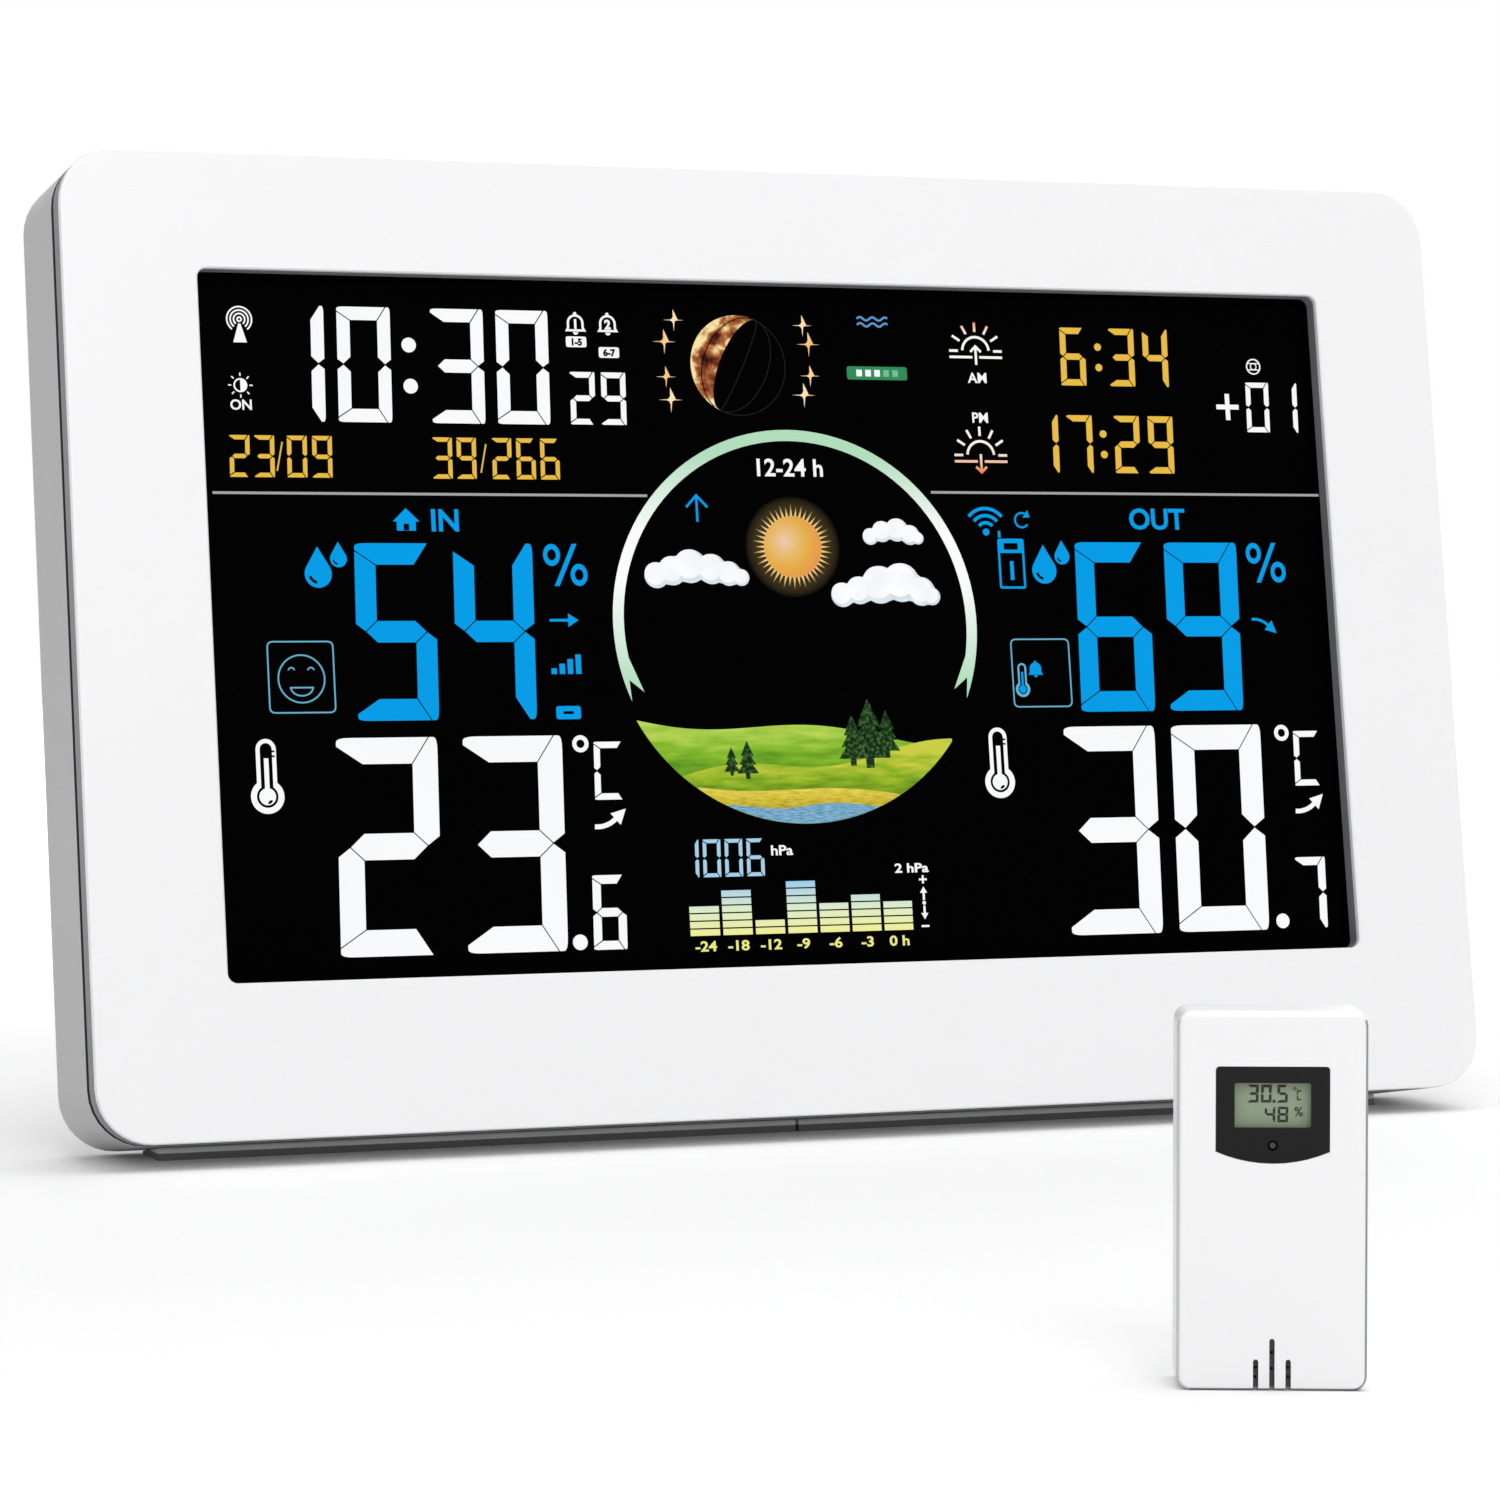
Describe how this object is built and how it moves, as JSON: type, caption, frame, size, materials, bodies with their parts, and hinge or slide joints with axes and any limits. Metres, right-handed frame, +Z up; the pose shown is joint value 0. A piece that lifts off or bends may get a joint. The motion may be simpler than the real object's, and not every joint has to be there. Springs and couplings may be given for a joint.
{
  "type": "home weather station",
  "caption": "Desk weather station: a wide console with a colour display that leans on a fold-out stand, and a small wireless sensor that stands in front of it.",
  "frame": {"origin": "on the table, in the middle of the set's footprint", "axes": "+Z up, the display faces -Y and leans back, +X to the right of someone who reads it"},
  "size_m": [0.26, 0.3426, 0.1703],
  "materials": {
    "white_shell": "white, satin gloss",
    "grey_case": "light grey, fine texture",
    "display": "black display glass with lit digits",
    "light_guide": "clear acrylic",
    "tray": "moulded, off white",
    "circuit_board": "green solder mask",
    "black_plastic": "black",
    "black_lens": "black gloss",
    "rubber": "dark grey rubber",
    "steel": "nickel plated",
    "ferrite": "unglazed dark ferrite",
    "cell_can": "plain grey sleeve",
    "lamp": "smoked lamp, off",
    "sensor_display": "grey-green display"
  },
  "bodies": {
    "console": {"face_panel": "white_shell", "front_frame": "grey_case", "lcd_panel": "display", "backlight_plate": "light_guide", "lcd_carrier": "tray", "main_board": "circuit_board", "buzzer": "black_plastic", "ferrite_antenna": "ferrite", "climate_board": "circuit_board", "rear_case": "grey_case", "battery_cell_1": "cell_can", "battery_cell_2": "cell_can", "battery_cell_3": "cell_can", "battery_contact_a": "steel", "battery_contact_b": "steel", "battery_contact_c": "steel", "battery_contact_d": "steel", "base_foot_left": "rubber", "base_foot_right": "rubber", "dc_jack": "black_plastic", "case_screw_1": "steel", "case_screw_2": "steel", "case_screw_3": "steel", "case_screw_4": "steel"},
    "stand": {"stand": "grey_case", "stand_foot": "rubber"},
    "battery_door": {"battery_door": "grey_case"},
    "snooze_bar": {"snooze_bar": "white_shell"},
    "button_1": {"button_1": "grey_case"},
    "button_2": {"button_2": "grey_case"},
    "button_3": {"button_3": "grey_case"},
    "button_4": {"button_4": "grey_case"},
    "button_5": {"button_5": "grey_case"},
    "button_6": {"button_6": "grey_case"},
    "sensor": {"sensor_body": "white_shell", "sensor_lens": "black_lens", "sensor_lcd": "sensor_display", "sensor_led": "lamp", "sensor_board": "circuit_board", "sensor_cell": "steel", "sensor_cell_clip": "steel", "sensor_screw_1": "steel", "sensor_screw_2": "steel"},
    "sensor_cover": {"sensor_back_cover": "white_shell"},
    "channel_switch": {"sensor_switch_knob": "black_plastic"},
    "reset_button": {"sensor_reset_button": "black_plastic"}
  },
  "joints": [
    {"name": "stand_fold", "type": "hinge", "parent": "console", "child": "stand", "pos_m": [0, 0.1157, 0.0116], "axis": [1, 0, 0], "range_deg": [0, 90.9]},
    {"name": "battery_door_lift", "type": "slide", "parent": "console", "child": "battery_door", "axis": [0, 0.9887, -0.1501], "range_m": [0, 0.025]},
    {"name": "snooze_press", "type": "slide", "parent": "console", "child": "snooze_bar", "axis": [0, -0.1501, -0.9887], "range_m": [0, 0.001], "stiffness_N_per_m": 600},
    {"name": "button_1_press", "type": "slide", "parent": "console", "child": "button_1", "axis": [0, -0.9887, 0.1501], "range_m": [0, 0.0008], "stiffness_N_per_m": 800},
    {"name": "button_2_press", "type": "slide", "parent": "console", "child": "button_2", "axis": [0, -0.9887, 0.1501], "range_m": [0, 0.0008], "stiffness_N_per_m": 800},
    {"name": "button_3_press", "type": "slide", "parent": "console", "child": "button_3", "axis": [0, -0.9887, 0.1501], "range_m": [0, 0.0008], "stiffness_N_per_m": 800},
    {"name": "button_4_press", "type": "slide", "parent": "console", "child": "button_4", "axis": [0, -0.9887, 0.1501], "range_m": [0, 0.0008], "stiffness_N_per_m": 800},
    {"name": "button_5_press", "type": "slide", "parent": "console", "child": "button_5", "axis": [0, -0.9887, 0.1501], "range_m": [0, 0.0008], "stiffness_N_per_m": 800},
    {"name": "button_6_press", "type": "slide", "parent": "console", "child": "button_6", "axis": [0, -0.9887, 0.1501], "range_m": [0, 0.0008], "stiffness_N_per_m": 800},
    {"name": "sensor_lift", "type": "slide", "parent": "console", "child": "sensor", "axis": [0, 0, 1], "range_m": [0, 0.06]},
    {"name": "sensor_cover_pull", "type": "slide", "parent": "sensor", "child": "sensor_cover", "axis": [0.4067, 0.9135, 0], "range_m": [0, 0.02]},
    {"name": "channel_slide", "type": "slide", "parent": "sensor", "child": "channel_switch", "axis": [0.9135, -0.4067, 0], "range_m": [0, 0.003]},
    {"name": "reset_press", "type": "slide", "parent": "sensor", "child": "reset_button", "axis": [-0.4067, -0.9135, 0], "range_m": [0, 0.0003], "stiffness_N_per_m": 300}
  ]
}
